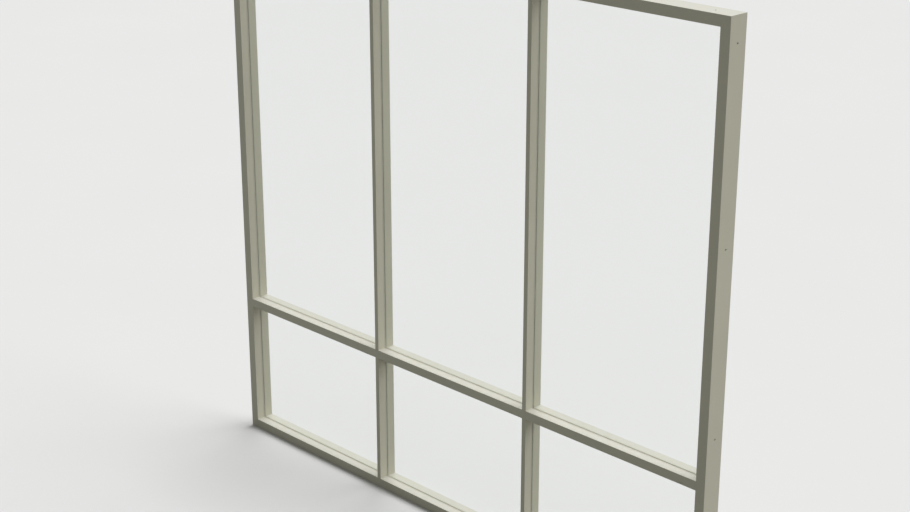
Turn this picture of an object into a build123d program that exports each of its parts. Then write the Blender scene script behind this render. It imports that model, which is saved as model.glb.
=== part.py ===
"""Fixed aluminium window: three equal bays over and under one low transom.

X runs across the window, Y from the outdoor face to the room, Z up. The origin is the middle of
the sill's underside, at half the frame's depth. All sizes are millimetres.

A section is drawn in two coordinates: across, from the edge that a profile stands on towards the
glass, and deep, from the outdoor face towards the room.
"""

from build123d import *
import os

# Overall size and the faces of the bars, as seen square on
WIDTH = 3000
HEIGHT = 2690
DEPTH = 101.6
FRAME_FACE = 47
TRANSOM_FACE = 43
MULLION_FACE = 23
TRANSOM_UNDERSIDE = 702
BAYS = 3

# Profile walls
WALL = 2.2
FIN = 3
EDGE_RADIUS = 0.8
OUTER_BEVEL = 0.5

# Hairline that a mitred end, an end on a pocket floor and a bead's rear foot stay back by
JOINT = 0.2

# Glazing pocket: a fixed leg outdoors, the glass in the middle, a snap-in bead on the room side
POCKET_DEPTH = 10
LEG_DEPTH = 41.3
POCKET_WIDTH = 19
GLASS = 6
GLASS_BITE = 7

# Groove that takes a gasket's stem, placed back from the sight line
GROOVE_CENTRE = 4.5
GROOVE_MOUTH = 2.6
GROOVE_WIDTH = 5
GROOVE_LIP = 1.2
GROOVE_DEPTH = 4
GROOVE_BACK = 1.5

# Gasket between metal and glass, with two lips and an arrow-headed stem
GASKET_LOW = 3.2
GASKET_HIGH = 9.4
GASKET_RELIEF = 1.4
LOWER_LIP = 1.3
UPPER_LIP = 1.3
STEM_NECK = 2.2
STEM_HEAD = 4.2
STEM_TIP = 1.2
STEM_DEPTH = 3.4
STEM_END = 1

# Snap-in bead and the hooked ribs that hold it
BEAD_WALL = 1.6
BEAD_GAP = 0.25
NOSE_BASE = 1.8
BARB_HEIGHT = 2.1
FRONT_BARB = 0.75
REAR_BARB = 2.6
RIB_HEIGHT = 3.6
RIB_THICK = 1.4
HOOK_REACH = 1.1
HOOK_UNDERSIDE = 2.3
FRONT_RIB = 6.9
REAR_RIB = 35.4
RIB_END = 5

# Setting blocks under the glass
BLOCK_LENGTH = 100
BLOCK_WIDTH = 14

# Cleats in the frame's corners and spigots in the ends of the transom and mullions
CLEAT_ARM = 80
CLEAT_WALL = 4
CLEAT_FRONT = 45
CLEAT_BACK = 95
SPIGOT_LENGTH = 40

# Fixings: a bolt hole in the outer wall, and a square access hole for its head in the pocket floor
BOLT_HOLE = 7.5
ACCESS_HOLE = 14
FIXING_FROM_END = 110
INNER_FIXINGS_ACROSS = 880

# Drain slots: round-ended through the outdoor face, square-cut through the pocket floor
SLOT_LENGTH = 25
SLOT_WIDTH = 5
SLOT_ABOVE_EDGE = 7
FACE_SLOT_FROM_SIGHT = 75
FLOOR_SLOT_FROM_SIGHT = 130

# Places that follow from the sizes above
BACK = DEPTH / 2
FLOOR = FRAME_FACE - POCKET_DEPTH
POCKET_MIDDLE = LEG_DEPTH + POCKET_WIDTH / 2
GLASS_FRONT = POCKET_MIDDLE - GLASS / 2
GASKET_THICK = GLASS_FRONT - LEG_DEPTH
BEAD_FRONT = LEG_DEPTH + POCKET_WIDTH
BEAD_DEPTH = DEPTH - BEAD_FRONT
CHAMBER_STEP = LEG_DEPTH - GROOVE_DEPTH - GROOVE_BACK
STEM_MIDDLE = POCKET_DEPTH - GROOVE_CENTRE
TRANSOM_TOP = TRANSOM_UNDERSIDE + TRANSOM_FACE
CLEAR_WIDTH = (WIDTH - 2 * FRAME_FACE - (BAYS - 1) * MULLION_FACE) / BAYS

HORIZONTAL = ("bottom", "top")
SIDES = ("bottom", "top", "left", "right")


class Outline:
    """An upright rectangle in the window's plane, from x0, z0 to x1, z1."""

    def __init__(self, x0, z0, x1, z1):
        self.x0, self.z0, self.x1, self.z1 = x0, z0, x1, z1

    @property
    def middle(self):
        return (self.x0 + self.x1) / 2, (self.z0 + self.z1) / 2

    def grown(self, by):
        """The same rectangle with every edge moved outwards."""
        return Outline(self.x0 - by, self.z0 - by, self.x1 + by, self.z1 + by)

    def shortened(self, side, by):
        """The same rectangle with both ends of one edge drawn back."""
        if side in HORIZONTAL:
            return Outline(self.x0 + by, self.z0, self.x1 - by, self.z1)
        return Outline(self.x0, self.z0 + by, self.x1, self.z1 - by)

    def length(self, side):
        """Length of one edge."""
        return self.x1 - self.x0 if side in HORIZONTAL else self.z1 - self.z0

    def ends(self, side):
        """The two corners of one edge."""
        return {
            "bottom": ((self.x0, self.z0), (self.x1, self.z0)),
            "top": ((self.x0, self.z1), (self.x1, self.z1)),
            "left": ((self.x0, self.z0), (self.x0, self.z1)),
            "right": ((self.x1, self.z0), (self.x1, self.z1)),
        }[side]

    def plane(self, side):
        """Section plane at the middle of an edge: its x points into the rectangle, its y is deep."""
        inwards = {
            "bottom": Vector(0, 0, 1),
            "top": Vector(0, 0, -1),
            "left": Vector(1, 0, 0),
            "right": Vector(-1, 0, 0),
        }[side]
        (xa, za), (xb, zb) = self.ends(side)
        start = ((xa + xb) / 2, -BACK, (za + zb) / 2)
        return Plane(origin=start, x_dir=inwards, z_dir=inwards.cross(Vector(0, 1, 0)))

    def slab(self, front, back):
        """A slab with this outline, from one depth to another."""
        sketch = Pos(*self.middle) * Rectangle(self.length("bottom"), self.length("left"))
        return extrude(Plane.XZ.offset(BACK - front) * sketch, amount=front - back)


def block(across0, deep0, across1, deep1):
    """A rectangle in a section, given by two opposite corners."""
    middle = Pos((across0 + across1) / 2, (deep0 + deep1) / 2)
    return middle * Rectangle(across1 - across0, deep1 - deep0)


def bar(plane, section, length):
    """A section extruded both ways from its plane to the given length."""
    return extrude(plane * section, amount=length / 2, both=True)


def eased(section, across, deep, cut=fillet, size=EDGE_RADIUS):
    """A section with the corners at the given places rounded, or cut another way."""
    places = {(round(a, 3), round(d, 3)) for a in across for d in deep}
    corners = [v for v in section.vertices() if (round(v.X, 3), round(v.Y, 3)) in places]
    return cut(corners, size)


def groove(centre, face, into):
    """T-shaped gasket groove: its middle across, the depth of its mouth, and which way it goes."""
    lip = face + into * GROOVE_LIP
    bottom = face + into * GROOVE_DEPTH
    mouth = block(centre - GROOVE_MOUTH / 2, *sorted_pair(face, lip, centre + GROOVE_MOUTH / 2))
    inner = block(centre - GROOVE_WIDTH / 2, *sorted_pair(lip, bottom, centre + GROOVE_WIDTH / 2))
    return mouth + inner


def sorted_pair(deep_a, deep_b, across):
    """The last three corner values of a block whose two depths may come in either order."""
    return min(deep_a, deep_b), across, max(deep_a, deep_b)


def frame_section():
    """Hollow profile of the outer frame: a deep tube with a fixed leg on its outdoor side."""
    outline = block(0, 0, FRAME_FACE, LEG_DEPTH) + block(0, LEG_DEPTH, FLOOR, DEPTH)
    outline = eased(outline, [FRAME_FACE], [0, LEG_DEPTH])
    outline = eased(outline, [0], [0, DEPTH], chamfer, OUTER_BEVEL)
    chamber = block(WALL, WALL, FRAME_FACE - WALL, CHAMBER_STEP) + block(
        WALL, CHAMBER_STEP, FLOOR - WALL, DEPTH - WALL
    )
    return outline - chamber - groove(FRAME_FACE - GROOVE_CENTRE, LEG_DEPTH, -1)


def rib_section():
    """The two hooked ribs on a pocket floor that a bead snaps onto."""
    front = BEAD_FRONT + FRONT_RIB
    rear = BEAD_FRONT + REAR_RIB
    rear_back = rear + RIB_THICK
    front_rib = block(0, front, RIB_HEIGHT, front + RIB_THICK) + block(
        HOOK_UNDERSIDE, front - HOOK_REACH, RIB_HEIGHT, front
    )
    rear_rib = block(0, rear, RIB_HEIGHT, rear_back) + block(
        HOOK_UNDERSIDE, rear_back, RIB_HEIGHT, rear_back + HOOK_REACH
    )
    return front_rib + rear_rib


def bead_section():
    """Thin-walled glazing bead: gasket nose towards the glass, open underneath, two barbed feet.

    It stands on the front foot. The rear one is a hairline short, which shows as a line in the room.
    """
    nose = GROOVE_DEPTH + BEAD_WALL
    rear = BEAD_DEPTH - BEAD_WALL
    section = eased(block(0, 0, POCKET_DEPTH, BEAD_DEPTH), [POCKET_DEPTH], [BEAD_DEPTH])
    section -= block(0, nose, POCKET_DEPTH - BEAD_WALL, rear)
    section -= block(0, 0, NOSE_BASE, nose - BEAD_WALL)
    section -= groove(STEM_MIDDLE, 0, 1)
    section += block(0, nose, BARB_HEIGHT, nose + FRONT_BARB)
    section += block(0, rear - REAR_BARB, BARB_HEIGHT, rear)
    section -= block(0, rear - REAR_BARB, JOINT, BEAD_DEPTH)
    return Pos(0, BEAD_FRONT) * section


def gasket_body_section():
    """Gasket body from the metal at depth 0 to the glass, relieved between and below its lips."""
    valley = GASKET_THICK - GASKET_RELIEF
    outline = Polyline(
        (GASKET_LOW, 0),
        (GASKET_HIGH, 0),
        (GASKET_HIGH, GASKET_THICK),
        (GASKET_HIGH - UPPER_LIP, GASKET_THICK),
        (STEM_MIDDLE + UPPER_LIP, valley),
        (STEM_MIDDLE, valley),
        (GASKET_LOW + 2 * LOWER_LIP, GASKET_THICK),
        (GASKET_LOW + LOWER_LIP, GASKET_THICK),
        (GASKET_LOW, valley),
        close=True,
    )
    return make_face(outline)


def gasket_stem_section():
    """Arrow-headed stem that reaches from depth 0 into a groove."""
    barb = -GROOVE_LIP - 0.1
    half = Polyline(
        (0, 0),
        (STEM_NECK / 2, 0),
        (STEM_NECK / 2, barb),
        (STEM_HEAD / 2, barb),
        (STEM_TIP / 2, -STEM_DEPTH),
        (0, -STEM_DEPTH),
    )
    return Pos(STEM_MIDDLE, 0) * make_face(half + mirror(half, Plane.YZ))


def mitre(outline, side, face):
    """Prism that keeps what lies between the two mitre lines of one edge."""
    mid_x, mid_z = outline.middle
    first, second = outline.ends(side)

    def inner(corner):
        x, z = corner
        return x + face * (1 if x < mid_x else -1), z + face * (1 if z < mid_z else -1)

    shape = make_face(Polyline(first, second, inner(second), inner(first), close=True))
    return extrude(Plane.XZ * shape, amount=DEPTH, both=True)


def pocket_ribs(light, side):
    """The bead ribs along one side of a light; they stop short of its corners."""
    pocket = light.grown(POCKET_DEPTH)
    return bar(pocket.plane(side), rib_section(), light.length(side) - 2 * RIB_END)


def drained(profile, lights, face_z, floor_z):
    """A horizontal profile with two face slots and two pocket-floor slots under each light."""
    face_slot = SlotOverall(SLOT_LENGTH, SLOT_WIDTH)
    floor_slot = Rectangle(SLOT_LENGTH, SLOT_WIDTH)
    for light in lights:
        for end, step in ((light.x0, 1), (light.x1, -1)):
            x = end + step * FACE_SLOT_FROM_SIGHT
            face = Plane(origin=(x, -BACK, face_z), x_dir=(1, 0, 0), z_dir=(0, -1, 0))
            profile -= extrude(face * face_slot, amount=2 * WALL, both=True)
            x = end + step * FLOOR_SLOT_FROM_SIGHT
            floor = Plane(origin=(x, POCKET_MIDDLE - BACK, floor_z))
            profile -= extrude(floor * floor_slot, amount=2 * WALL, both=True)
    return profile


def fixing_places(side):
    """Places of the four fixings of one side, measured from its middle."""
    run = WIDTH if side in HORIZONTAL else HEIGHT
    outer = run / 2 - FIXING_FROM_END
    inner = INNER_FIXINGS_ACROSS / 2 if side in HORIZONTAL else outer / 3
    return -outer, -inner, inner, outer


def drilled(member, outline, side):
    """A frame member with its bolt holes in the outer wall and access holes in the pocket floor."""
    section = outline.plane(side)
    for place in fixing_places(side):
        start = section.from_local_coords(Vector(0, POCKET_MIDDLE, place))
        wall = Plane(origin=start, z_dir=section.x_dir)
        member -= extrude(wall * Circle(BOLT_HOLE / 2), amount=2 * WALL, both=True)
        pocket = wall.offset(FLOOR) * Rectangle(ACCESS_HOLE, ACCESS_HOLE)
        member -= extrude(pocket, amount=2 * WALL, both=True)
    return member


def frame_member(outline, side, lights):
    """One side of the outer frame: mitred, with bead ribs, and drilled for its fixings."""
    member = bar(outline.plane(side), frame_section(), outline.length(side))
    member &= mitre(outline.shortened(side, JOINT), side, FRAME_FACE)
    for light in lights:
        member += pocket_ribs(light, side)
    return drilled(member, outline, side)


def transom(lights_over, lights_under):
    """The low bar. Its front stops at the jambs' sight lines and its back runs into their pockets."""
    between = Outline(
        -WIDTH / 2 + FRAME_FACE, TRANSOM_UNDERSIDE, WIDTH / 2 - FRAME_FACE, TRANSOM_TOP
    )
    plane = between.plane("bottom")
    short = between.length("bottom")
    long = short + 2 * (POCKET_DEPTH - JOINT)
    low, high = POCKET_DEPTH, TRANSOM_FACE - POCKET_DEPTH
    front = eased(block(0, 0, TRANSOM_FACE, LEG_DEPTH), [0, TRANSOM_FACE], [0, LEG_DEPTH])
    chamber = block(WALL, WALL, TRANSOM_FACE - WALL, CHAMBER_STEP) + block(
        low + WALL, CHAMBER_STEP, high - WALL, DEPTH - WALL
    )
    profile = bar(plane, front, short)
    profile += bar(plane, block(low, LEG_DEPTH, high, DEPTH), long)
    profile -= bar(plane, chamber, long)
    for centre in (GROOVE_CENTRE, TRANSOM_FACE - GROOVE_CENTRE):
        profile -= bar(plane, groove(centre, LEG_DEPTH, -1), short)
    for light in lights_over:
        profile += pocket_ribs(light, "bottom")
    for light in lights_under:
        profile += pocket_ribs(light, "top")
    slot_z = TRANSOM_UNDERSIDE + SLOT_ABOVE_EDGE
    return drained(profile, lights_over, slot_z, TRANSOM_TOP - POCKET_DEPTH)


def between_lights(light_left, light_right):
    """The upright strip that a mullion fills between two lights."""
    return Outline(light_left.x1, light_left.z0, light_right.x0, light_left.z1)


def mullion(light_left, light_right):
    """A slim upright: a tube outdoors, and behind it a fin that runs into the pockets at both ends."""
    strip = between_lights(light_left, light_right)
    plane = strip.plane("left")
    height = strip.length("left")
    front = eased(block(0, 0, MULLION_FACE, LEG_DEPTH), [0, MULLION_FACE], [0, LEG_DEPTH])
    section = front - block(WALL, WALL, MULLION_FACE - WALL, CHAMBER_STEP)
    for centre in (GROOVE_CENTRE, MULLION_FACE - GROOVE_CENTRE):
        section -= groove(centre, LEG_DEPTH, -1)
    fin = block((MULLION_FACE - FIN) / 2, LEG_DEPTH, (MULLION_FACE + FIN) / 2, DEPTH)
    profile = bar(plane, section, height) + bar(plane, fin, height + 2 * (POCKET_DEPTH - JOINT))
    profile += pocket_ribs(light_left, "right")
    profile += pocket_ribs(light_right, "left")
    return profile


def beads(light):
    """Four square-cut beads: the top and bottom ones run through, the side ones stand between."""
    pocket = light.grown(POCKET_DEPTH)
    bars = []
    for side in SIDES:
        cut = BEAD_GAP if side in HORIZONTAL else POCKET_DEPTH + BEAD_GAP
        bars.append(bar(pocket.plane(side), bead_section(), pocket.length(side) - 2 * cut))
    return Compound(children=bars)


def gasket(light, outdoors):
    """A mitred gasket ring with a stem along each side; the room-side one faces the other way."""
    pocket = light.grown(POCKET_DEPTH)
    body, stem = gasket_body_section(), gasket_stem_section()
    if outdoors:
        body, stem = Pos(0, LEG_DEPTH) * body, Pos(0, LEG_DEPTH) * stem
    else:
        body = Pos(0, BEAD_FRONT) * mirror(body, Plane.XZ)
        stem = Pos(0, BEAD_FRONT) * mirror(stem, Plane.XZ)
    ring = []
    for side in SIDES:
        run = bar(pocket.plane(side), body, pocket.length(side))
        ring.append(run & mitre(pocket, side, POCKET_DEPTH))
        ring.append(bar(pocket.plane(side), stem, light.length(side) - 2 * STEM_END))
    return ring[0].fuse(*ring[1:]).clean()


def setting_blocks(light):
    """Two blocks on the pocket floor at the quarter points of a light, up to the glass."""
    floor = light.z0 - POCKET_DEPTH
    half = BLOCK_LENGTH / 2
    blocks = []
    for share in (1 / 4, 3 / 4):
        x = light.x0 + share * light.length("bottom")
        seat = Outline(x - half, floor, x + half, light.z0 - GLASS_BITE)
        blocks.append(seat.slab(POCKET_MIDDLE - BLOCK_WIDTH / 2, POCKET_MIDDLE + BLOCK_WIDTH / 2))
    return Compound(children=blocks)


def corner_cleats(outline):
    """Hollow right-angled cleats that fill the frame's chamber round its four mitres."""
    near, far = WALL, FLOOR - WALL

    def angle_face(inset):
        a, b, tip = near + inset, far - inset, CLEAT_ARM - inset
        return make_face(Polyline((a, a), (tip, a), (tip, b), (b, b), (b, tip), (a, tip), close=True))

    shape = angle_face(0) - angle_face(CLEAT_WALL)
    cleat = extrude(Plane.XZ.offset(BACK - CLEAT_FRONT) * shape, amount=CLEAT_FRONT - CLEAT_BACK)
    mid_x, mid_z = outline.middle
    left_bottom = Pos(outline.x0, 0, outline.z0) * cleat
    right_bottom = mirror(left_bottom, Plane.YZ.offset(mid_x))
    over = Plane.XY.offset(mid_z)
    cleats = [left_bottom, right_bottom, mirror(left_bottom, over), mirror(right_bottom, over)]
    return Compound(children=cleats)


def transom_spigots():
    """Blocks in the transom's two ends that stand on the jambs' pocket floors."""
    end = WIDTH / 2 - FLOOR
    low = TRANSOM_UNDERSIDE + POCKET_DEPTH + WALL
    high = TRANSOM_TOP - POCKET_DEPTH - WALL
    left = Outline(-end, low, -end + SPIGOT_LENGTH, high).slab(CLEAT_FRONT, CLEAT_BACK)
    return Compound(children=[left, mirror(left, Plane.YZ)])


def mullion_spigots(lights):
    """Blocks in both ends of the tubes of one row's mullions."""
    blocks = []
    for left, right in zip(lights, lights[1:]):
        strip = between_lights(left, right)
        for z in (strip.z0, strip.z1 - SPIGOT_LENGTH):
            seat = Outline(strip.x0 + WALL, z, strip.x1 - WALL, z + SPIGOT_LENGTH)
            blocks.append(seat.slab(WALL, CHAMBER_STEP))
    return Compound(children=blocks)


def row_of_lights(z0, z1):
    """The clear openings of one row, from left to right."""
    first = -WIDTH / 2 + FRAME_FACE
    starts = [first + i * (CLEAR_WIDTH + MULLION_FACE) for i in range(BAYS)]
    return [Outline(x, z0, x + CLEAR_WIDTH, z1) for x in starts]


def build():
    """Every piece of the window, by name."""
    outline = Outline(-WIDTH / 2, 0, WIDTH / 2, HEIGHT)
    lower = row_of_lights(FRAME_FACE, TRANSOM_UNDERSIDE)
    upper = row_of_lights(TRANSOM_TOP, HEIGHT - FRAME_FACE)
    sill = frame_member(outline, "bottom", lower)
    parts = {
        "sill": drained(sill, lower, SLOT_ABOVE_EDGE, FLOOR),
        "head": frame_member(outline, "top", upper),
        "jamb_left": frame_member(outline, "left", [lower[0], upper[0]]),
        "jamb_right": frame_member(outline, "right", [lower[-1], upper[-1]]),
        "transom": transom(upper, lower),
        "corner_cleats": corner_cleats(outline),
        "transom_spigots": transom_spigots(),
    }
    for level, lights in (("upper", upper), ("lower", lower)):
        parts[f"mullion_spigots_{level}"] = mullion_spigots(lights)
        for place, left, right in zip(("left", "right"), lights, lights[1:]):
            parts[f"mullion_{level}_{place}"] = mullion(left, right)
        for place, light in zip(("left", "centre", "right"), lights):
            name = f"{level}_{place}"
            glass = light.grown(GLASS_BITE)
            parts[f"pane_{name}"] = glass.slab(GLASS_FRONT, GLASS_FRONT + GLASS)
            parts[f"beads_{name}"] = beads(light)
            parts[f"gasket_outer_{name}"] = gasket(light, True)
            parts[f"gasket_inner_{name}"] = gasket(light, False)
            parts[f"setting_blocks_{name}"] = setting_blocks(light)
    return parts


os.makedirs("parts", exist_ok=True)
for node, shape in build().items():
    export_step(shape, f"parts/{node}.step")
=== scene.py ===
"""Looks of a fixed aluminium window: three bays over and under one low transom.

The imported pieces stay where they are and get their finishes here. The glazing gaskets are made
again with round lips. The screws that hold the corner cleats and the transom are added, and so
are the grilles in the drain slots.

Sizes are metres. X runs across the window and Y from outdoors to the room, both from its middle,
and Z runs up from its underside.
"""

import logging
import math
from collections.abc import Iterator, Mapping
from dataclasses import dataclass, field
from enum import Enum

import bmesh
import bpy
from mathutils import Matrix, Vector


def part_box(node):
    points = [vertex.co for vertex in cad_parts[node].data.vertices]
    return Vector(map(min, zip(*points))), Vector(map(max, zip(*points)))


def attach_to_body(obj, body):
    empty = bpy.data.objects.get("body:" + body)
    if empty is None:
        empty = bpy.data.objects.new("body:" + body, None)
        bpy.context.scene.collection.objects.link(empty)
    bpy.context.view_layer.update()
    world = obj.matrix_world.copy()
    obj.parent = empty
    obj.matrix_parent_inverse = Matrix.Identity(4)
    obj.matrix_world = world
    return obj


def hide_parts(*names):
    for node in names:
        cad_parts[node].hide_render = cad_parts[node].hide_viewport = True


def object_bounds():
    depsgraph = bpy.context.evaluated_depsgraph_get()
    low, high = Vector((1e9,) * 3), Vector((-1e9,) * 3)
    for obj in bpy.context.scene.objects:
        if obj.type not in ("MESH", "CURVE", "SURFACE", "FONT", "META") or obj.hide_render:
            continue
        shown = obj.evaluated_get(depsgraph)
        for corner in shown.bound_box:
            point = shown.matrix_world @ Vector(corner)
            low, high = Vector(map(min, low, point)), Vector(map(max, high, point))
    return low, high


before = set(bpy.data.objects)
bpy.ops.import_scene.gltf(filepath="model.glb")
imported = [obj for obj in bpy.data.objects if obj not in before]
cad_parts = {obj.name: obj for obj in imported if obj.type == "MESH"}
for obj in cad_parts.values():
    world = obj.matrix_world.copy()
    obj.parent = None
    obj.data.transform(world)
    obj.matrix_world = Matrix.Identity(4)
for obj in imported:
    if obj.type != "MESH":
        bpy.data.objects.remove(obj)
CAD_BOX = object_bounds()

MM = 0.001
BODY = "root"

Colour = tuple[float, float, float]
Way = tuple[float, float, float]
Point = tuple[float, float]
Limits = tuple[float, float]

log = logging.getLogger("window")


class Row(Enum):
    """The two rows of lights."""

    UPPER = "upper"
    LOWER = "lower"


class Bay(Enum):
    """The three bays, as seen from outdoors."""

    LEFT = "left"
    CENTRE = "centre"
    RIGHT = "right"


class GlassFace(Enum):
    """The two faces of a pane. The value is the way from the metal to the glass along Y."""

    OUTER = 1
    INNER = -1


class Slot(Enum):
    """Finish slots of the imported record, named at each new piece."""

    FRAME_PAINT = "frame_paint"
    GASKET = "gasket"
    CLEAT = "cleat"


class Wiring:
    """Adds nodes to a tree, each with its settings and inputs in one call."""

    def __init__(self, tree: bpy.types.NodeTree) -> None:
        """Empties the tree and keeps it."""
        self.tree = tree
        tree.nodes.clear()

    def add(
        self, kind: str, inputs: Mapping[str | int, object] | None = None, **settings: object
    ) -> bpy.types.Node:
        """Adds one node.

        Args:
            kind: type name of the node.
            inputs: a value, or the output that feeds it, for each input by name or position.
            settings: properties of the node itself.

        Returns:
            The new node.
        """
        node = self.tree.nodes.new(kind)
        for key, value in settings.items():
            setattr(node, key, value)
        for key, value in (inputs or {}).items():
            if isinstance(value, bpy.types.NodeSocket):
                self.tree.links.new(value, node.inputs[key])
            else:
                node.inputs[key].default_value = value
        return node

    def maths(self, operation: str, first: object, second: object = 0.0) -> bpy.types.NodeSocket:
        """Works out one operation of the Math node on two numbers or outputs."""
        return self.add("ShaderNodeMath", {0: first, 1: second}, operation=operation).outputs[0]


class Surface(Wiring):
    """A material under construction: its tree, its object coordinates and its shader."""

    # Noise seldom leaves this range.
    NOISE_RANGE = (0.3, 0.7)
    # Where the Mix node has its two colours and its mixed colour.
    MIX_ENDS = (6, 7)
    MIX_RESULT = 2

    def __init__(self, name: str) -> None:
        """Starts a material with object coordinates and one shader that reaches the output.

        Args:
            name: name of the material.
        """
        self.material = bpy.data.materials.new(name)
        self.material.use_nodes = True
        super().__init__(self.material.node_tree)
        self.places = self.add("ShaderNodeTexCoord").outputs["Object"]
        self.shader = self.add("ShaderNodeBsdfPrincipled")
        self.output = self.add("ShaderNodeOutputMaterial", {"Surface": self.shader.outputs[0]})

    def fix(self, **values: object) -> None:
        """Sets what is the same all over the surface, with _ for each space in an input's name."""
        for key, value in values.items():
            self.shader.inputs[key.replace("_", " ")].default_value = value

    def drive(self, name: str, source: bpy.types.NodeSocket) -> None:
        """Feeds one input of the shader."""
        self.tree.links.new(source, self.shader.inputs[name])

    def cloud(
        self, scale: float, detail: float, stretch: Way = (1.0, 1.0, 1.0)
    ) -> bpy.types.NodeSocket:
        """Noise from 0 to 1 on object coordinates.

        Args:
            scale: spots per metre.
            detail: octaves of finer noise.
            stretch: how much denser the noise is along each axis.

        Returns:
            The noise.
        """
        places = self.add("ShaderNodeMapping", {"Vector": self.places, "Scale": stretch})
        inputs = {"Vector": places.outputs[0], "Scale": scale, "Detail": detail}
        return self.add("ShaderNodeTexNoise", inputs).outputs[0]

    def spread(
        self, value: bpy.types.NodeSocket, to: Limits, over: Limits = NOISE_RANGE
    ) -> bpy.types.NodeSocket:
        """Maps a value straight from one range to another, and holds it beyond the ends."""
        ends = {"From Min": over[0], "From Max": over[1], "To Min": to[0], "To Max": to[1]}
        return self.add("ShaderNodeMapRange", {"Value": value, **ends}).outputs[0]

    def blend(
        self, share: bpy.types.NodeSocket, first: object, second: object
    ) -> bpy.types.NodeSocket:
        """Mixes two colours.

        Args:
            share: how much of the second, from 0 to 1.
            first: a colour, or the output that gives one.
            second: another.

        Returns:
            The mixed colour.
        """
        ends = [(*end, 1.0) if isinstance(end, tuple) else end for end in (first, second)]
        inputs = {0: share, **dict(zip(self.MIX_ENDS, ends))}
        return self.add("ShaderNodeMix", inputs, data_type="RGBA").outputs[self.MIX_RESULT]

    def drifting(
        self, share: bpy.types.NodeSocket, colour: Colour, drift: float
    ) -> bpy.types.NodeSocket:
        """A colour that drifts from darker, at a share of 0, to lighter, at a share of 1."""
        return self.blend(share, shade(colour, -drift), shade(colour, drift))

    def relief(self, height: bpy.types.NodeSocket, depth: float) -> None:
        """Bumps the surface by a height from 0 to 1, of which 1 stands for the depth."""
        inputs = {"Height": height, "Distance": depth, "Strength": 1.0}
        self.drive("Normal", self.add("ShaderNodeBump", inputs).outputs[0])


def shade(colour: Colour, by: float) -> Colour:
    """A colour made lighter or darker by a share of itself."""
    return tuple(channel * (1.0 + by) for channel in colour)


@dataclass(frozen=True)
class PowderCoat:
    """Satin powder coat: a slow drift of shade, flecks, orange peel, and dust where it faces up,
    which is also painted top light: faces that look up are lighter and greyer.
    """

    colour: Colour = (0.624, 0.607, 0.486)
    specular: float = 0.45
    drift: float = 0.035
    drifts_per_metre: float = 1.7
    fleck: Colour = (0.2, 0.2, 0.18)
    fleck_share: float = 0.02
    flecks_per_metre: float = 1900.0
    roughness: Limits = (0.36, 0.46)
    sheens_per_metre: float = 7.0
    peel_per_metre: float = 620.0
    peel_height: float = 0.06 * MM
    # The upward colour is part dust and part painted top light: it makes faces that look up lighter
    # and greyer than the sides.
    dust_and_top_light: Colour = (0.66, 0.66, 0.64)
    dust_and_top_light_upwards: Limits = (0.6, 0.98)
    dust_and_top_light_share: float = 0.6
    dust_and_top_light_thinnest: float = 0.35
    dust_dulling: float = 0.3
    patches_per_metre: float = 38.0

    def material(self) -> bpy.types.Material:
        """Builds the material.

        Returns:
            The finished material.
        """
        surface = Surface("satin_powder_coat")
        surface.fix(Specular_IOR_Level=self.specular)
        drift = surface.spread(surface.cloud(self.drifts_per_metre, detail=3.0), (0.0, 1.0))
        paint = surface.drifting(drift, self.colour, self.drift)
        flecks = surface.cloud(self.flecks_per_metre, detail=0.0)
        paint = surface.blend(surface.spread(flecks, (0.0, self.fleck_share)), paint, self.fleck)
        # Painted top light mixed with dust: faces that look up take a lighter, greyer colour.
        dust_and_top_light = self.dust_and_top_light_cover(surface)
        surface.drive("Base Color", surface.blend(dust_and_top_light, paint, self.dust_and_top_light))
        sheen = surface.spread(surface.cloud(self.sheens_per_metre, detail=4.0), self.roughness)
        dulling = surface.maths("MULTIPLY", dust_and_top_light, self.dust_dulling)
        surface.drive("Roughness", surface.maths("ADD", sheen, dulling))
        surface.relief(surface.cloud(self.peel_per_metre, detail=1.0), self.peel_height)
        return surface.material

    def dust_and_top_light_cover(self, surface: Surface) -> bpy.types.NodeSocket:
        """Share of dust and painted top light, patchy, and only on faces that look up.

        Args:
            surface: the material under construction.

        Returns:
            The share, from 0 to the most dust and painted top light.
        """
        normal = surface.add("ShaderNodeNewGeometry").outputs["Normal"]
        upwards = surface.add("ShaderNodeSeparateXYZ", {0: normal}).outputs["Z"]
        # Only faces that look up get the dust and the painted top light.
        ledge_dust_and_top_light = surface.spread(upwards, (0.0, self.dust_and_top_light_share), self.dust_and_top_light_upwards)
        patches = surface.cloud(self.patches_per_metre, detail=5.0)
        patches = surface.spread(patches, (self.dust_and_top_light_thinnest, 1.0))
        return surface.maths("MULTIPLY", ledge_dust_and_top_light, patches)


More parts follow.
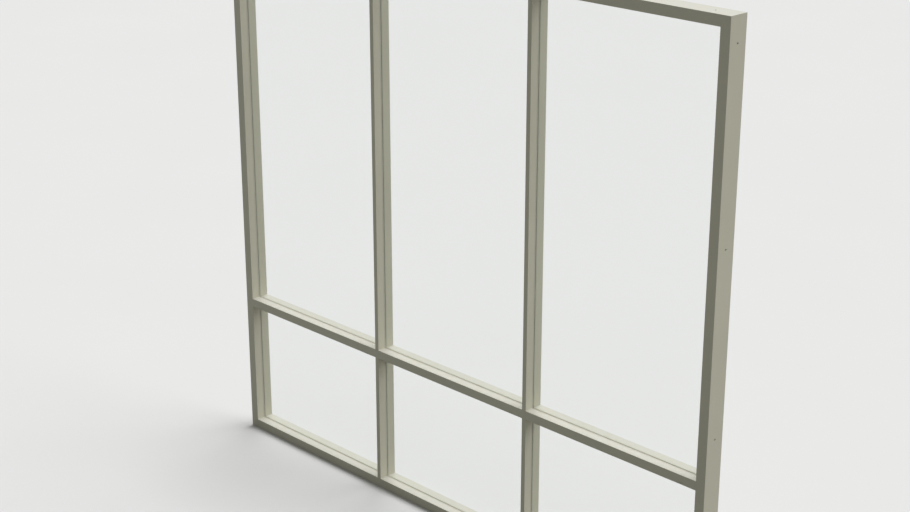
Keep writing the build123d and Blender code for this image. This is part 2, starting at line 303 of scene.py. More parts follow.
@dataclass(frozen=True)
class FloatGlass:
    """Clear float glass with a faint wave and the last smears of cleaning.

    Light from a lamp or a matt surface passes it straight, so that it isn't counted twice.
    """

    colour: Colour = (0.965, 0.98, 0.973)
    index: float = 1.52
    waves_per_metre: float = 2.2
    wave_stretch: Way = (1.0, 1.0, 2.0)
    wave_height: float = 0.02 * MM
    roughness: Limits = (0.0, 0.012)
    smears_per_metre: float = 5.0
    smear_stretch: Way = (1.0, 1.0, 0.35)
    smear_range: Limits = (0.45, 0.75)

    def material(self) -> bpy.types.Material:
        """Builds the material.

        Returns:
            The finished material.
        """
        surface = Surface("clear_float_glass")
        surface.fix(Base_Color=(*self.colour, 1.0), Transmission_Weight=1.0, IOR=self.index)
        smears = surface.cloud(self.smears_per_metre, detail=4.0, stretch=self.smear_stretch)
        surface.drive("Roughness", surface.spread(smears, self.roughness, self.smear_range))
        waves = surface.cloud(self.waves_per_metre, detail=0.0, stretch=self.wave_stretch)
        surface.relief(waves, self.wave_height)
        path = surface.add("ShaderNodeLightPath").outputs
        clear = surface.add("ShaderNodeBsdfTransparent").outputs[0]
        shown = surface.shader.outputs[0]
        for ray in ("Is Diffuse Ray", "Is Shadow Ray"):
            inputs = {0: path[ray], 1: shown, 2: clear}
            shown = surface.add("ShaderNodeMixShader", inputs).outputs[0]
        surface.tree.links.new(shown, surface.output.inputs["Surface"])
        return surface.material


@dataclass(frozen=True)
class GasketRubber:
    """Dull rubber in the shade of the frame, with a chalky bloom."""

    colour: Colour = (0.54, 0.53, 0.43)
    specular: float = 0.35
    bloom: Colour = (0.61, 0.6, 0.52)
    bloom_share: float = 0.7
    bloom_range: Limits = (0.35, 0.75)
    blooms_per_metre: float = 45.0
    roughness: Limits = (0.62, 0.8)
    grains_per_metre: float = 1400.0
    grain_height: float = 0.03 * MM

    def material(self) -> bpy.types.Material:
        """Builds the material.

        Returns:
            The finished material.
        """
        surface = Surface("gasket_rubber")
        surface.fix(Specular_IOR_Level=self.specular)
        share = (0.0, self.bloom_share)
        bloom = surface.cloud(self.blooms_per_metre, detail=4.0)
        bloom = surface.spread(bloom, share, self.bloom_range)
        surface.drive("Base Color", surface.blend(bloom, self.colour, self.bloom))
        surface.drive("Roughness", surface.spread(bloom, self.roughness, share))
        surface.relief(surface.cloud(self.grains_per_metre, detail=2.0), self.grain_height)
        return surface.material


@dataclass(frozen=True)
class MillAluminium:
    """Bare extruded aluminium with die lines along its depth."""

    colour: Colour = (0.74, 0.745, 0.75)
    dull: Colour = (0.6, 0.605, 0.61)
    roughness: Limits = (0.3, 0.5)
    patches_per_metre: float = 30.0
    lines_per_metre: float = 700.0
    line_stretch: Way = (1.0, 0.02, 1.0)
    line_height: float = 0.02 * MM

    def material(self) -> bpy.types.Material:
        """Builds the material.

        Returns:
            The finished material.
        """
        surface = Surface("mill_aluminium")
        surface.fix(Metallic=1.0)
        lines = surface.cloud(self.lines_per_metre, detail=3.0, stretch=self.line_stretch)
        surface.drive("Base Color", surface.blend(lines, self.dull, self.colour))
        patches = surface.cloud(self.patches_per_metre, detail=4.0)
        surface.drive("Roughness", surface.spread(patches, self.roughness))
        surface.relief(lines, self.line_height)
        return surface.material


@dataclass(frozen=True)
class BlockPlastic:
    """Dark moulded plastic of the setting blocks."""

    colour: Colour = (0.035, 0.036, 0.038)
    scuffed: Colour = (0.09, 0.09, 0.092)
    scuff_share: float = 0.8
    scuff_range: Limits = (0.5, 0.8)
    scuffs_per_metre: float = 90.0
    roughness: Limits = (0.4, 0.6)
    grains_per_metre: float = 1100.0
    grain_height: float = 0.04 * MM

    def material(self) -> bpy.types.Material:
        """Builds the material.

        Returns:
            The finished material.
        """
        surface = Surface("block_plastic")
        share = (0.0, self.scuff_share)
        scuffs = surface.cloud(self.scuffs_per_metre, detail=6.0)
        scuffs = surface.spread(scuffs, share, self.scuff_range)
        surface.drive("Base Color", surface.blend(scuffs, self.colour, self.scuffed))
        surface.drive("Roughness", surface.spread(scuffs, self.roughness, share))
        surface.relief(surface.cloud(self.grains_per_metre, detail=2.0), self.grain_height)
        return surface.material


@dataclass(frozen=True)
class ScrewSteel:
    """Stainless steel of the screw heads, lightly turned."""

    colour: Colour = (0.6, 0.59, 0.575)
    handled: Colour = (0.48, 0.47, 0.46)
    roughness: Limits = (0.22, 0.4)
    marks_per_metre: float = 900.0
    mark_height: float = 0.01 * MM

    def material(self) -> bpy.types.Material:
        """Builds the material.

        Returns:
            The finished material.
        """
        surface = Surface("screw_steel")
        surface.fix(Metallic=1.0)
        marks = surface.cloud(self.marks_per_metre, detail=3.0)
        surface.drive("Base Color", surface.blend(marks, self.handled, self.colour))
        surface.drive("Roughness", surface.spread(marks, self.roughness))
        surface.relief(marks, self.mark_height)
        return surface.material


@dataclass(frozen=True)
class Finishes:
    """Every finish of the window, made once and shared by its pieces."""

    paint: bpy.types.Material = field(default_factory=lambda: PowderCoat().material())
    glass: bpy.types.Material = field(default_factory=lambda: FloatGlass().material())
    gasket: bpy.types.Material = field(default_factory=lambda: GasketRubber().material())
    cleat: bpy.types.Material = field(default_factory=lambda: MillAluminium().material())
    block: bpy.types.Material = field(default_factory=lambda: BlockPlastic().material())
    screw: bpy.types.Material = field(default_factory=lambda: ScrewSteel().material())


class ShapeTree:
    """A Geometry Nodes tree with named inputs, whose results are kept as plain meshes."""

    FINISH = "Finish"
    SAME_PLACE = 0.005 * MM
    SHARP_OVER = 40.0

    def __init__(self, name: str, inputs: Mapping[str, str]) -> None:
        """Starts the tree.

        Args:
            name: name of the tree.
            inputs: socket type of each input, by the input's name.
        """
        self.tree = bpy.data.node_groups.new(name, "GeometryNodeTree")
        self.wiring = Wiring(self.tree)
        self.identifiers = {}
        sockets = {"Start": "NodeSocketGeometry", **inputs, self.FINISH: "NodeSocketMaterial"}
        for label, kind in sockets.items():
            socket = self.tree.interface.new_socket(label, in_out="INPUT", socket_type=kind)
            self.identifiers[label] = socket.identifier
        self.tree.interface.new_socket("Shape", in_out="OUTPUT", socket_type="NodeSocketGeometry")
        self.given = self.wiring.add("NodeGroupInput").outputs

    def merged(self, *shapes: bpy.types.NodeSocket) -> bpy.types.NodeSocket:
        """Joins shapes into one, with its doubled points merged.

        Args:
            shapes: the shapes.

        Returns:
            The joined shape.
        """
        joined = self.wiring.add("GeometryNodeJoinGeometry")
        for shape in shapes:
            self.tree.links.new(shape, joined.inputs[0])
        inputs = {0: joined.outputs[0], "Distance": self.SAME_PLACE}
        return self.wiring.add("GeometryNodeMergeByDistance", inputs).outputs[0]

    def close(self, shape: bpy.types.NodeSocket) -> None:
        """Ends the tree: the instances are made real and take the finish.

        Args:
            shape: what the tree has made.
        """
        real = self.wiring.add("GeometryNodeRealizeInstances", {"Geometry": shape})
        inputs = {"Geometry": real.outputs[0], "Material": self.given[self.FINISH]}
        dressed = self.wiring.add("GeometryNodeSetMaterial", inputs)
        self.wiring.add("NodeGroupOutput", {0: dressed.outputs[0]})

    def rounded(
        self,
        outline: bpy.types.NodeSocket,
        radius: bpy.types.NodeSocket,
        steps: int,
        limited: bool = False,
    ) -> bpy.types.NodeSocket:
        """Rounds every corner of a curve. A limited radius shrinks where it has no room."""
        inputs = {"Curve": outline, "Count": steps, "Radius": radius, "Limit Radius": limited}
        return self.wiring.add("GeometryNodeFilletCurve", inputs, mode="POLY").outputs[0]

    def piece(self, start: bpy.types.Mesh, values: Mapping[str, object]) -> bpy.types.Object:
        """Runs the tree once.

        Args:
            start: the mesh that the tree begins with. The piece takes its name.
            values: a value for each named input.

        Returns:
            An object at the origin that holds the result as a plain mesh.
        """
        piece = bpy.data.objects.new(start.name, start)
        bpy.context.scene.collection.objects.link(piece)
        modifier = piece.modifiers.new(self.tree.name, "NODES")
        modifier.node_group = self.tree
        for label, value in values.items():
            modifier[self.identifiers[label]] = value
        seen = bpy.context.evaluated_depsgraph_get()
        result = bpy.data.meshes.new_from_object(piece.evaluated_get(seen), depsgraph=seen)
        piece.modifiers.remove(modifier)
        piece.data = result
        bpy.data.meshes.remove(start)
        result.name = piece.name
        face_outwards(result)
        result.shade_smooth()
        result.set_sharp_from_angle(angle=math.radians(self.SHARP_OVER))
        return piece


def face_outwards(mesh: bpy.types.Mesh) -> None:
    """Turns every face outwards.

    Args:
        mesh: a mesh of closed shells.
    """
    work = bmesh.new()
    work.from_mesh(mesh)
    bmesh.ops.recalc_face_normals(work, faces=work.faces)
    work.to_mesh(mesh)
    work.free()


def attach(piece: bpy.types.Object, slot: Slot, *stands_for: str) -> None:
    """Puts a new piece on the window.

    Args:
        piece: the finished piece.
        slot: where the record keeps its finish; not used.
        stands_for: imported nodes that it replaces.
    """
    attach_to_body(piece, BODY)
    if stands_for:
        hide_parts(*stands_for)
    log.info("made %s, %d faces", piece.name, len(piece.data.polygons))


def dress(node: str, finish: bpy.types.Material) -> None:
    """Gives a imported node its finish.

    Args:
        node: name of the node.
        finish: the material that it takes.
    """
    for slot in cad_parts[node].material_slots:
        slot.material = finish
    log.info("dressed %s in %s", node, finish.name)


@dataclass(frozen=True)
class Light:
    """One glazed opening. Its corners are those of its pane, read from the frame."""

    name: str
    low: Vector
    high: Vector

    @classmethod
    def of(cls, row: Row, bay: Bay) -> "Light":
        """Reads the light of one row and bay."""
        name = f"{row.value}_{bay.value}"
        return cls(name, *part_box(f"pane_{name}"))

    @property
    def middle(self) -> Vector:
        """Middle of the pane."""
        return (self.low + self.high) / 2

    @property
    def size(self) -> Vector:
        """Width, thickness and height of the pane."""
        return self.high - self.low


@dataclass(frozen=True)
class GasketSection:
    """Section of a gasket: round lips on the glass, a crowned top and a barbed stem in the metal.

    Inwards is measured from the edge of the glass to the middle of the pane, and depth from the
    metal to the glass.
    """

    start: float = 0.2 * MM
    end: float = 6.7 * MM
    crown: float = 0.6 * MM
    thickness: float = 6.5 * MM
    valley_depth: float = 1.4 * MM
    lip: float = 1.3 * MM
    stem: float = 2.5 * MM
    neck: float = 2.2 * MM
    barb: float = 4.2 * MM
    tip: float = 1.2 * MM
    barb_depth: float = 1.3 * MM
    stem_depth: float = 3.4 * MM
    rounding: float = 0.4 * MM
    crown_steps: int = 6

    def stem_side(self, side: int) -> list[Point]:
        """Corners of one side of the stem.

        Args:
            side: -1 for the side next to the edge of the glass, 1 for the other.

        Returns:
            The corners from the metal's face down to the tip.
        """
        return [
            (self.stem + side * self.neck / 2, 0.0),
            (self.stem + side * self.neck / 2, -self.barb_depth),
            (self.stem + side * self.barb / 2, -self.barb_depth),
            (self.stem + side * self.tip / 2, -self.stem_depth),
        ]

    def top(self) -> Iterator[Point]:
        """Draws the crowned top that shows at the sight line.

        Returns:
            Its points from the metal to the glass.
        """
        for step in range(self.crown_steps + 1):
            share = step / self.crown_steps
            yield self.end + self.crown * math.sin(math.pi * share), self.thickness * share

    def outline(self) -> list[Point]:
        """Draws the whole section.

        Returns:
            Every corner in order, each as inwards and depth.
        """
        valley = self.thickness - self.valley_depth
        return [
            (self.start, 0.0),
            *self.stem_side(-1),
            *reversed(self.stem_side(1)),
            *self.top(),
            (self.end - self.lip, self.thickness),
            (self.stem + self.lip, valley),
            (self.stem, valley),
            (self.start + 2 * self.lip, self.thickness),
            (self.start + self.lip, self.thickness),
            (self.start, valley),
        ]

    def curve(self) -> bpy.types.Object:
        """Puts the section in the scene for a tree to sweep.

        Returns:
            A closed flat curve.
        """
        outline = self.outline()
        line = bpy.data.curves.new("gasket_section", "CURVE")
        spline = line.splines.new("POLY")
        spline.points.add(len(outline) - 1)
        for point, (inwards, depth) in zip(spline.points, outline):
            point.co = (inwards, depth, 0.0, 1.0)
        spline.use_cyclic_u = True
        drawn = bpy.data.objects.new(line.name, line)
        bpy.context.scene.collection.objects.link(drawn)
        return drawn


class GasketTree(ShapeTree):
    """Sweeps a gasket's section round a pane, with a true mitre at each corner."""

    CORNER_STEPS = 3

    def __init__(self) -> None:
        """Builds the tree."""
        super().__init__(
            "mitred_gasket",
            {
                "Width": "NodeSocketFloat",
                "Height": "NodeSocketFloat",
                "Middle": "NodeSocketVector",
                "Metal Face": "NodeSocketFloat",
                "To Glass": "NodeSocketFloat",
                "Rounding": "NodeSocketFloat",
                "Section": "NodeSocketObject",
            },
        )
        edge, corner = self.remembered(self.glass_edge())
        section, point = self.remembered(self.rounded_section())
        swept = self.wiring.add(
            "GeometryNodeCurveToMesh", {"Curve": edge, "Profile Curve": section}
        )
        placed = self.wiring.add(
            "GeometryNodeSetPosition",
            {"Geometry": swept.outputs[0], "Position": self.place(corner, point)},
        )
        self.close(self.merged(placed.outputs[0]))

    def remembered(
        self, curve: bpy.types.NodeSocket
    ) -> tuple[bpy.types.NodeSocket, bpy.types.NodeSocket]:
        """Keeps the places of a curve's points for after the sweep.

        Args:
            curve: the curve.

        Returns:
            The curve, and the places that its points had.
        """
        node = self.wiring.add("GeometryNodeCaptureAttribute", {0: curve}, domain="POINT")
        node.capture_items.new("VECTOR", "Place")
        here = self.wiring.add("GeometryNodeInputPosition").outputs[0]
        self.tree.links.new(here, node.inputs["Place"])
        return node.outputs[0], node.outputs["Place"]

    def glass_edge(self) -> bpy.types.NodeSocket:
        """The outline of the pane, drawn flat round the origin."""
        inputs = {"Width": self.given["Width"], "Height": self.given["Height"]}
        return self.wiring.add("GeometryNodeCurvePrimitiveQuadrilateral", inputs).outputs[0]

    def rounded_section(self) -> bpy.types.NodeSocket:
        """Rounds the corners of the section.

        Returns:
            The rounded section.
        """
        drawn = self.wiring.add("GeometryNodeObjectInfo", {"Object": self.given["Section"]})
        outline = drawn.outputs["Geometry"]
        return self.rounded(outline, self.given["Rounding"], self.CORNER_STEPS, limited=True)

    def place(
        self, corner: bpy.types.NodeSocket, point: bpy.types.NodeSocket
    ) -> bpy.types.NodeSocket:
        """Where a swept point belongs, so that the section keeps its size up to the mitre.

        Args:
            corner: corner of the glass that it was swept to.
            point: its place in the section.

        Returns:
            Its place in the window.
        """
        wiring = self.wiring
        corner_x, corner_z, _ = wiring.add("ShaderNodeSeparateXYZ", {0: corner}).outputs
        inwards, depth, _ = wiring.add("ShaderNodeSeparateXYZ", {0: point}).outputs
        drawn_in = [
            wiring.maths(
                "SUBTRACT", edge, wiring.maths("MULTIPLY", wiring.maths("SIGN", edge), inwards)
            )
            for edge in (corner_x, corner_z)
        ]
        off_metal = wiring.maths("MULTIPLY", depth, self.given["To Glass"])
        deep = wiring.maths("ADD", self.given["Metal Face"], off_metal)
        flat = wiring.add("ShaderNodeCombineXYZ", {0: drawn_in[0], 1: deep, 2: drawn_in[1]})
        ends = {0: flat.outputs[0], 1: self.given["Middle"]}
        return wiring.add("ShaderNodeVectorMath", ends, operation="ADD").outputs[0]


@dataclass
class Glazing:
    """What fills the lights: panes, beads, setting blocks, and a gasket on each face."""

    finishes: Finishes
    section: GasketSection = field(default_factory=GasketSection)
    lights: list[Light] = field(
        default_factory=lambda: [Light.of(row, bay) for row in Row for bay in Bay]
    )

    def build(self) -> None:
        """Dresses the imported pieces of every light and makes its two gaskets."""
        tree = GasketTree()
        drawn = self.section.curve()
        for light in self.lights:
            dress(f"pane_{light.name}", self.finishes.glass)
            dress(f"beads_{light.name}", self.finishes.paint)
            dress(f"setting_blocks_{light.name}", self.finishes.block)
            for face in GlassFace:
                self.gasket(tree, drawn, light, face)
        bpy.data.curves.remove(drawn.data)

    def gasket(
        self, tree: GasketTree, drawn: bpy.types.Object, light: Light, face: GlassFace
    ) -> None:
        """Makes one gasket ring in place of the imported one.

        Args:
            tree: the tree that sweeps it.
            drawn: its section.
            light: the light that it goes round.
            face: the face of the glass that it presses on.
        """
        packed = f"gasket_{face.name.lower()}_{light.name}"
        glass = light.low.y if face is GlassFace.OUTER else light.high.y
        values = {
            "Width": light.size.x,
            "Height": light.size.z,
            "Middle": (light.middle.x, 0.0, light.middle.z),
            "Metal Face": glass - face.value * self.section.thickness,
            "To Glass": float(face.value),
            "Rounding": self.section.rounding,
            "Section": drawn,
            ShapeTree.FINISH: self.finishes.gasket,
        }
        ring = tree.piece(bpy.data.meshes.new(f"{packed}_ring"), values)
        attach(ring, Slot.GASKET, packed)


@dataclass(frozen=True)
class ScrewHead:
    """A pan head with a hexagon socket, seated on the origin and pointing along Z."""

    radius: float = 3.5 * MM
    rim: float = 0.9 * MM
    height: float = 2.4 * MM
    crown_radius: float = 2.1 * MM
    socket: float = 2.5 * MM
    socket_depth: float = 1.3 * MM
    sides: int = 24
    dome_steps: int = 4

    def rings(self) -> list[Point]:
        """Works out the outside of the head.

        Returns:
            Radius and height of each ring, from the seat up to the flat of the crown.
        """
        rings = [(self.radius, 0.0)]
        for step in range(self.dome_steps + 1):
            turn = math.pi / 2 * step / self.dome_steps
            radius = self.crown_radius + (self.radius - self.crown_radius) * math.cos(turn)
            rings.append((radius, self.rim + (self.height - self.rim) * math.sin(turn)))
        return rings

    def hexagon(self, angle: float) -> float:
        """Works out the socket's wall.

        Args:
            angle: a direction round the head.

        Returns:
            Distance from the middle of the socket to its wall in that direction.
        """
        sector = math.pi / 3
        off_flat = (angle + sector / 2) % sector - sector / 2
        return self.socket / 2 / math.cos(off_flat)

    def mesh(self) -> bpy.types.Mesh:
        """Builds the head.

        Returns:
            One closed shell.
        """
        work = bmesh.new()
        loops = [
            [(radius, height) for _ in range(self.sides)]
            for radius, height in self.rings()
        ]
        angles = [2 * math.pi * i / self.sides for i in range(self.sides)]
        for height in (self.height, self.height - self.socket_depth):
            loops.append([(self.hexagon(angle), height) for angle in angles])
        rows = [
            [
                work.verts.new((radius * math.cos(angle), radius * math.sin(angle), height))
                for angle, (radius, height) in zip(angles, loop)
            ]
            for loop in loops
        ]
        for lower, upper in zip(rows, rows[1:]):
            for i in range(self.sides):
                j = (i + 1) % self.sides
                work.faces.new((lower[i], lower[j], upper[j], upper[i]))
        work.faces.new(reversed(rows[0]))
        bmesh.ops.poke(work, faces=[work.faces.new(rows[-1])])
        mesh = bpy.data.meshes.new("screw_head")
        work.to_mesh(mesh)
        work.free()
        return mesh


class ScrewTree(ShapeTree):
    """Seats a screw head on each point, along its aim, and gives each its own turn."""

    AIM = "aim"

    def __init__(self) -> None:
        """Builds the tree."""
        super().__init__("seated_screws", {"Head": "NodeSocketObject", "Seed": "NodeSocketInt"})
        wiring = self.wiring
        head = wiring.add("GeometryNodeObjectInfo", {"Object": self.given["Head"]})
        aim = wiring.add(
            "GeometryNodeInputNamedAttribute", {"Name": self.AIM}, data_type="FLOAT_VECTOR"
        )
        upright = wiring.add(
            "FunctionNodeAlignRotationToVector", {"Vector": aim.outputs[0]}, axis="Z"
        )
        turn = wiring.add(
            "FunctionNodeRandomValue",
            {"Min": (0.0, 0.0, 0.0), "Max": (0.0, 0.0, math.tau), "Seed": self.given["Seed"]},
            data_type="FLOAT_VECTOR",
        )
        turned = wiring.add(
            "FunctionNodeRotateRotation",
            {0: upright.outputs[0], 1: turn.outputs[0]},
            rotation_space="LOCAL",
        )
        seated = wiring.add(
            "GeometryNodeInstanceOnPoints",
            {
                "Points": self.given["Start"],
                "Instance": head.outputs["Geometry"],
                "Rotation": turned.outputs[0],
            },
        )
        self.close(seated.outputs[0])


@dataclass(frozen=True)
class DrainGrille:
    """A pierced plate, set just behind the face in a drain slot to keep insects out."""

    size: Point = (24.7 * MM, 4.7 * MM)
    end_radius: float = 2.3 * MM
    thickness: float = 1.6 * MM
    opening: Point = (2.0 * MM, 2.6 * MM)
    opening_radius: float = 0.5 * MM
    openings: int = 5
    pitch: float = 4.2 * MM
    set_back: float = 0.3 * MM

    def inputs(self) -> dict[str, object]:
        """Sorts the sizes for a grille tree.

        Returns:
            The value of each of its inputs.
        """
        return {
            "Size": (*self.size, 0.0),
            "End Radius": self.end_radius,
            "Thickness": self.thickness,
            "Opening": (*self.opening, 0.0),
            "Opening Radius": self.opening_radius,
            "Openings": self.openings,
            "First Opening": (-self.pitch * (self.openings - 1) / 2, 0.0, 0.0),
            "Pitch": (self.pitch, 0.0, 0.0),
        }


class GrilleTree(ShapeTree):
    """Pierces a round-ended plate and sets one on each point, with its face outdoors."""

    END_STEPS = 8
    OPENING_STEPS = 2

    def __init__(self) -> None:
        """Builds the tree."""
        super().__init__(
            "pierced_plates",
            {
                "Size": "NodeSocketVector",
                "End Radius": "NodeSocketFloat",
                "Thickness": "NodeSocketFloat",
                "Opening": "NodeSocketVector",
                "Opening Radius": "NodeSocketFloat",
                "Openings": "NodeSocketInt",
                "First Opening": "NodeSocketVector",
                "Pitch": "NodeSocketVector",
            },
        )
        wiring = self.wiring
        flat = wiring.add("GeometryNodeFillCurve", {0: self.outlines()}).outputs[0]
        raised = wiring.add(
            "GeometryNodeExtrudeMesh",
            {
                "Mesh": flat,
                "Offset": (0.0, 0.0, 1.0),
                "Offset Scale": self.given["Thickness"],
                "Individual": False,
            },
        )
        back = wiring.add("GeometryNodeFlipFaces", {0: flat})
        seated = wiring.add(
            "GeometryNodeInstanceOnPoints",
            {
                "Points": self.given["Start"],
                "Instance": self.merged(raised.outputs[0], back.outputs[0]),
                "Rotation": (math.pi / 2, 0.0, 0.0),
            },
        )
        self.close(seated.outputs[0])

    def outlines(self) -> bpy.types.NodeSocket:
        """Draws the plate and its row of openings.

        Returns:
            Their outlines, flat and round the origin.
        """
        row = self.wiring.add(
            "GeometryNodeMeshLine",
            {
                "Count": self.given["Openings"],
                "Start Location": self.given["First Opening"],
                "Offset": self.given["Pitch"],
            },
        )
        opening = self.rectangle("Opening")
        opening = self.rounded(opening, self.given["Opening Radius"], self.OPENING_STEPS)
        openings = self.wiring.add(
            "GeometryNodeInstanceOnPoints", {"Points": row.outputs[0], "Instance": opening}
        )
        plate = self.rounded(self.rectangle("Size"), self.given["End Radius"], self.END_STEPS)
        real = self.wiring.add("GeometryNodeRealizeInstances", {0: openings.outputs[0]})
        joined = self.wiring.add("GeometryNodeJoinGeometry", {0: real.outputs[0]})
        self.tree.links.new(plate, joined.inputs[0])
        return joined.outputs[0]

    def rectangle(self, label: str) -> bpy.types.NodeSocket:
        """Draws a rectangle round the origin.

        Args:
            label: name of the input that gives its length and width.

        Returns:
            The rectangle.
        """
        sides = self.wiring.add("ShaderNodeSeparateXYZ", {0: self.given[label]}).outputs
        inputs = {"Width": sides[0], "Height": sides[1]}
        return self.wiring.add("GeometryNodeCurvePrimitiveQuadrilateral", inputs).outputs[0]


@dataclass
class Framework:
    """The bars of the window, with what joins them and what sits in their drain slots."""

    BARS = (
        "sill",
        "head",
        "jamb_left",
        "jamb_right",
        "transom",
        "mullion_upper_left",
        "mullion_upper_right",
        "mullion_lower_left",
        "mullion_lower_right",
    )
    JOINTS = ("corner_cleats", "transom_spigots", "mullion_spigots_upper", "mullion_spigots_lower")

    finishes: Finishes
    head: ScrewHead = field(default_factory=ScrewHead)
    screw_line: float = 31.0 * MM
    cleat_screws: tuple[float, ...] = (56.0 * MM, 70.0 * MM)
    spigot_screw: float = 20.0 * MM
    screw_seed: int = 7
    grille: DrainGrille = field(default_factory=DrainGrille)
    drain_from_pane: float = 82.0 * MM
    drain_above_edge: float = 7.0 * MM

    def build(self) -> None:
        """Dresses the bars and the joints inside them, and adds the screws and grilles."""
        for bar in self.BARS:
            dress(bar, self.finishes.paint)
        for joint in self.JOINTS:
            dress(joint, self.finishes.cleat)
        self.screws("cleat_screws", list(self.cleat_places()))
        self.screws("transom_screws", list(self.transom_places()))
        self.drain_grilles()

    def cleat_places(self) -> Iterator[tuple[Vector, Vector]]:
        """Works out the screws through the pocket floors into the corner cleats.

        Returns:
            Place and aim of each screw.
        """
        outer_low, outer_high = CAD_BOX
        # The beads stand on the pocket floors.
        floor_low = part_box("beads_lower_left")[0]
        floor_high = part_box("beads_upper_right")[1]
        for x, floor_x, right in ((outer_low.x, floor_low.x, 1), (outer_high.x, floor_high.x, -1)):
            for z, floor_z, up in ((outer_low.z, floor_low.z, 1), (outer_high.z, floor_high.z, -1)):
                for along in self.cleat_screws:
                    level = Vector((x + right * along, self.screw_line, floor_z))
                    upright = Vector((floor_x, self.screw_line, z + up * along))
                    yield level, Vector((0.0, 0.0, up))
                    yield upright, Vector((right, 0.0, 0.0))

    def transom_places(self) -> Iterator[tuple[Vector, Vector]]:
        """Works out the screws through the transom's pocket floors into its spigots.

        Returns:
            Place and aim of each screw.
        """
        low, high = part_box("transom")
        # The beads stand on these floors too.
        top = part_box("beads_upper_left")[0].z
        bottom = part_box("beads_lower_left")[1].z
        for x in (low.x + self.spigot_screw, high.x - self.spigot_screw):
            yield Vector((x, self.screw_line, top)), Vector((0.0, 0.0, 1.0))
            yield Vector((x, self.screw_line, bottom)), Vector((0.0, 0.0, -1.0))

    def screws(self, name: str, places: list[tuple[Vector, Vector]]) -> None:
        """Makes one piece of all the screws of one kind of joint.

        Args:
            name: name of the piece.
            places: place and aim of each screw.
        """
        points = bpy.data.meshes.new(name)
        points.from_pydata([tuple(place) for place, _ in places], [], [])
        aims = points.attributes.new(ScrewTree.AIM, "FLOAT_VECTOR", "POINT")
        for item, (_, aim) in zip(aims.data, places):
            item.vector = aim
        mesh = self.head.mesh()
        pattern = bpy.data.objects.new(mesh.name, mesh)
        bpy.context.scene.collection.objects.link(pattern)
        values = {
            "Head": pattern,
            "Seed": self.screw_seed,
            ShapeTree.FINISH: self.finishes.screw,
        }
        piece = ScrewTree().piece(points, values)
        bpy.data.meshes.remove(mesh)
        attach(piece, Slot.CLEAT)

    def drain_places(self) -> Iterator[Vector]:
        """Works out the grilles in the slots of the sill's and the transom's face.

        Returns:
            Where the middle of each one's back goes.
        """
        outer_low = CAD_BOX[0]
        back = outer_low.y + self.grille.set_back + self.grille.thickness
        for edge in (outer_low.z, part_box("transom")[0].z):
            for bay in Bay:
                pane = Light.of(Row.LOWER, bay)
                for x in (pane.low.x + self.drain_from_pane, pane.high.x - self.drain_from_pane):
                    yield Vector((x, back, edge + self.drain_above_edge))

    def drain_grilles(self) -> None:
        """Makes one piece of all the drain grilles."""
        points = bpy.data.meshes.new("drain_grilles")
        points.from_pydata([tuple(place) for place in self.drain_places()], [], [])
        values = {**self.grille.inputs(), ShapeTree.FINISH: self.finishes.paint}
        attach(GrilleTree().piece(points, values), Slot.FRAME_PAINT)


@dataclass(frozen=True)
class SoftLamp:
    """A broad lamp, far off. Its level is the light on a face that is square to it."""

    name: str
    towards: Way
    level: float
    angle: float

    @property
    def way(self) -> Vector:
        """The way to the lamp, one metre long."""
        return Vector(self.towards).normalized()

    @property
    def on_floor(self) -> float:
        """Light on a face that looks up."""
        return self.level * self.way.z

    def hang(self) -> None:
        """Puts the lamp in the scene."""
        lamp = bpy.data.lights.new(self.name, "SUN")
        lamp.angle = math.radians(self.angle)
        lamp.energy = math.pi * self.level
        hung = bpy.data.objects.new(self.name, lamp)
        hung.rotation_mode = "QUATERNION"
        hung.rotation_quaternion = self.way.to_track_quat("Z", "Y")
        bpy.context.scene.collection.objects.link(hung)


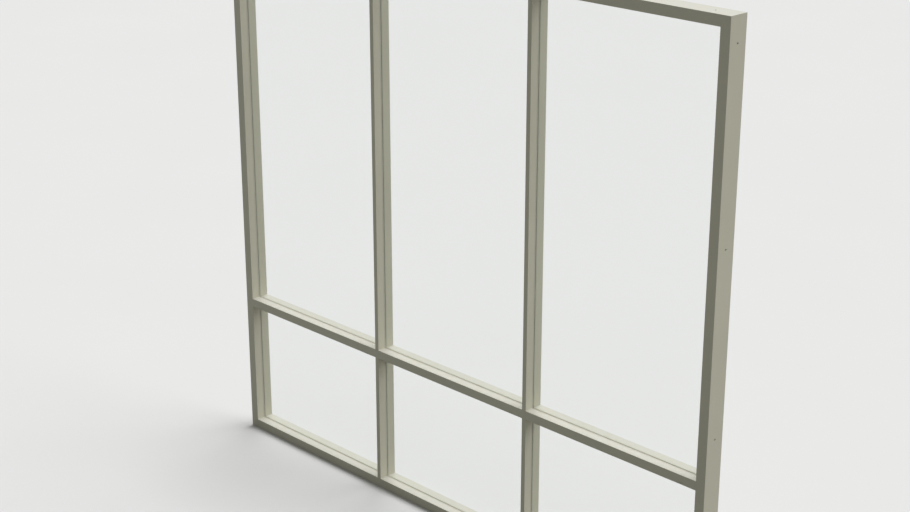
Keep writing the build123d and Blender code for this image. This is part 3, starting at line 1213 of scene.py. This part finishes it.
@dataclass
class Studio:
    """A plain pale floor and an even sky, with one lamp overhead and a weaker one on the right."""

    FIRST_BOUNCE = 0.5

    floor_radius: float = 60.0
    floor_sides: int = 96
    floor_gap: float = 0.2 * MM
    floor_roughness: float = 0.9
    pale: Colour = (0.775, 0.775, 0.768)
    floor_drift: float = 0.012
    drifts_per_metre: float = 0.8
    bounce: Colour = (0.19, 0.195, 0.17)
    sky: float = 0.24
    lamps: tuple[SoftLamp, ...] = (
        SoftLamp("lamp_overhead", towards=(0.0, 0.5, 1.0), level=0.84, angle=50.0),
        SoftLamp("lamp_right", towards=(1.0, 0.45, 0.3), level=0.235, angle=30.0),
    )

    def build(self) -> None:
        """Lays the floor and sets the light."""
        self.floor()
        for lamp in self.lamps:
            lamp.hang()
        self.world()
        log.info("laid the floor and hung %d lamps", len(self.lamps))

    def seen(self, wiring: Wiring) -> bpy.types.NodeSocket:
        """Whether a ray shows what it meets, direct, mirrored or through glass, or only lights.

        Args:
            wiring: the tree that asks.

        Returns:
            1 for what is seen, 0 for what only sends light on.
        """
        path = wiring.add("ShaderNodeLightPath").outputs
        sight = wiring.maths("MAXIMUM", path["Is Camera Ray"], path["Is Glossy Ray"])
        sight = wiring.maths("MAXIMUM", sight, path["Is Transmission Ray"])
        straight = wiring.maths("LESS_THAN", path["Diffuse Depth"], self.FIRST_BOUNCE)
        return wiring.maths("MULTIPLY", sight, straight)

    def floor(self) -> None:
        """Lays a round floor under the sill."""
        work = bmesh.new()
        bmesh.ops.create_circle(
            work, cap_ends=True, segments=self.floor_sides, radius=self.floor_radius
        )
        bmesh.ops.translate(work, verts=work.verts, vec=(0.0, 0.0, CAD_BOX[0].z - self.floor_gap))
        mesh = bpy.data.meshes.new("floor")
        work.to_mesh(mesh)
        work.free()
        surface = Surface("floor_paint")
        surface.fix(Roughness=self.floor_roughness, Specular_IOR_Level=0.0)
        drift = surface.cloud(self.drifts_per_metre, detail=3.0)
        pale = surface.drifting(drift, self.pale, self.floor_drift)
        surface.drive("Base Color", surface.blend(self.seen(surface), self.bounce, pale))
        mesh.materials.append(surface.material)
        laid = bpy.data.objects.new("floor", mesh)
        bpy.context.scene.collection.objects.link(laid)

    def world(self) -> None:
        """Sets an even sky that is seen as pale as the lit floor."""
        world = bpy.data.worlds.new("studio")
        world.use_nodes = True
        wiring = Wiring(world.node_tree)
        lit = wiring.add("ShaderNodeBackground", {"Color": (1.0,) * 4, "Strength": self.sky})
        floor_light = self.sky + sum(lamp.on_floor for lamp in self.lamps)
        lit_floor = shade(self.pale, floor_light - 1.0)
        shown = wiring.add("ShaderNodeBackground", {"Color": (*lit_floor, 1.0)})
        inputs = {0: self.seen(wiring), 1: lit.outputs[0], 2: shown.outputs[0]}
        mixed = wiring.add("ShaderNodeMixShader", inputs)
        wiring.add("ShaderNodeOutputWorld", {"Surface": mixed.outputs[0]})
        bpy.context.scene.world = world


@dataclass
class Viewpoint:
    """The photograph's viewpoint: its field just takes in the ball round the window."""

    azimuth: float = 45.0
    elevation: float = 20.0
    field_of_view: float = 30.0
    sensor: float = 36.0
    reach: float = 200.0

    def build(self) -> None:
        """Sets the camera up and makes it the scene's own."""
        low, high = CAD_BOX
        middle = (low + high) / 2
        half_field = math.radians(self.field_of_view) / 2
        distance = (high - low).length / 2 / math.sin(half_field)
        turn, rise = math.radians(self.azimuth), math.radians(self.elevation)
        back = Vector(
            (
                math.sin(turn) * math.cos(rise),
                -math.cos(turn) * math.cos(rise),
                math.sin(rise),
            )
        )
        lens = bpy.data.cameras.new("camera")
        lens.sensor_width = self.sensor
        lens.lens = self.sensor / 2 / math.tan(half_field)
        lens.clip_end = self.reach
        camera = bpy.data.objects.new("camera", lens)
        camera.location = middle + back * distance
        camera.rotation_mode = "QUATERNION"
        camera.rotation_quaternion = back.to_track_quat("Z", "Y")
        bpy.context.scene.collection.objects.link(camera)
        bpy.context.scene.camera = camera
        bpy.context.scene.view_settings.view_transform = "Standard"
        log.info("set the camera %.2f m off", distance)


def main() -> None:
    """Builds the view, the studio and the window's looks, in order."""
    logging.basicConfig(level=logging.INFO, format="%(name)s: %(message)s")
    Viewpoint().build()
    Studio().build()
    finishes = Finishes()
    Framework(finishes).build()
    Glazing(finishes).build()


if __name__ == "__main__":
    main()
